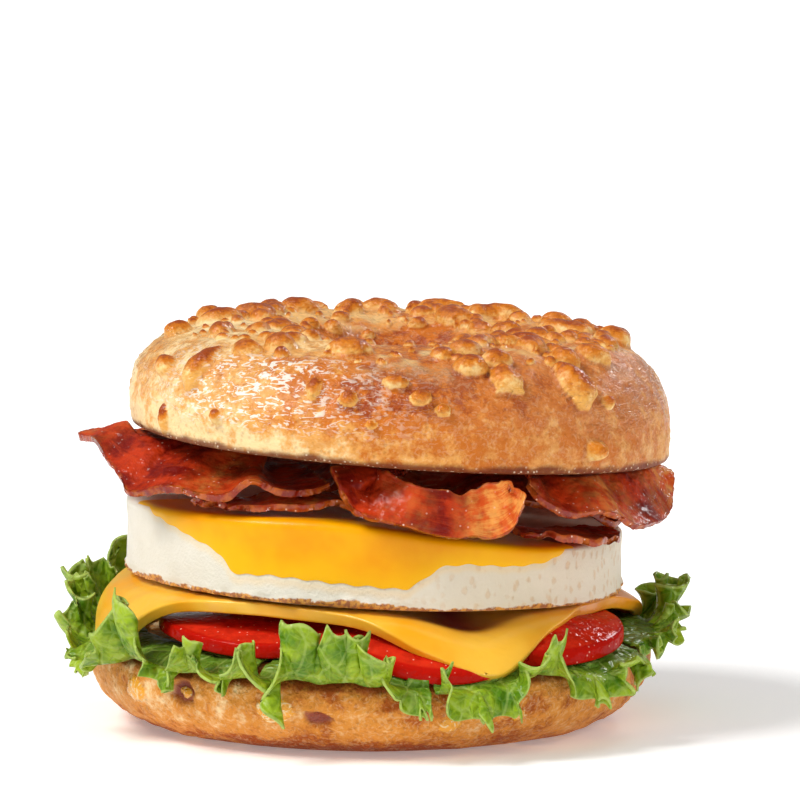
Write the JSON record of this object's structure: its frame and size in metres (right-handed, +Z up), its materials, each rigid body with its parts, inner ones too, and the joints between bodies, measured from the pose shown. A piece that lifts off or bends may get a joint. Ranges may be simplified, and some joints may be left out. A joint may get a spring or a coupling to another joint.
{
  "type": "bagel sandwich",
  "caption": "Bagel sandwich with bacon, a round egg patty, melted cheese, tomato and lettuce between the halves of a cheese-topped bagel.",
  "frame": {"origin": "middle of the underside of the whole sandwich's bounding box, on the surface it lies on", "axes": "+Z up, -Y towards the side shown in the picture, +X to the right of that side"},
  "size_m": [0.1264, 0.1288, 0.0807],
  "materials": {
    "crust": "baked crust with a brushed glaze",
    "pale_crust": "baked crust, satin",
    "egg_white": "moist, soft sheen",
    "yolk": "glossy",
    "cheese": "melted, soft sheen",
    "tomato": "wet and glossy",
    "lettuce": "waxy leaf",
    "bacon": "fried, glossy with fat"
  },
  "bodies": {
    "root": {"crown": "crust", "heel": "pale_crust", "egg_white": "egg_white", "yolk": "yolk", "cheese": "cheese", "tomato_centre": "tomato", "tomato_left": "tomato", "tomato_right": "tomato", "tomato_back": "tomato", "lettuce_left": "lettuce", "lettuce_front_left": "lettuce", "lettuce_front": "lettuce", "lettuce_front_right": "lettuce", "lettuce_right": "lettuce", "lettuce_back": "lettuce", "bacon_left_lower": "bacon", "bacon_left": "bacon", "bacon_centre": "bacon", "bacon_middle": "bacon", "bacon_right": "bacon", "bacon_right_lower": "bacon", "bacon_back_left": "bacon", "bacon_back_right": "bacon"}
  },
  "joints": []
}
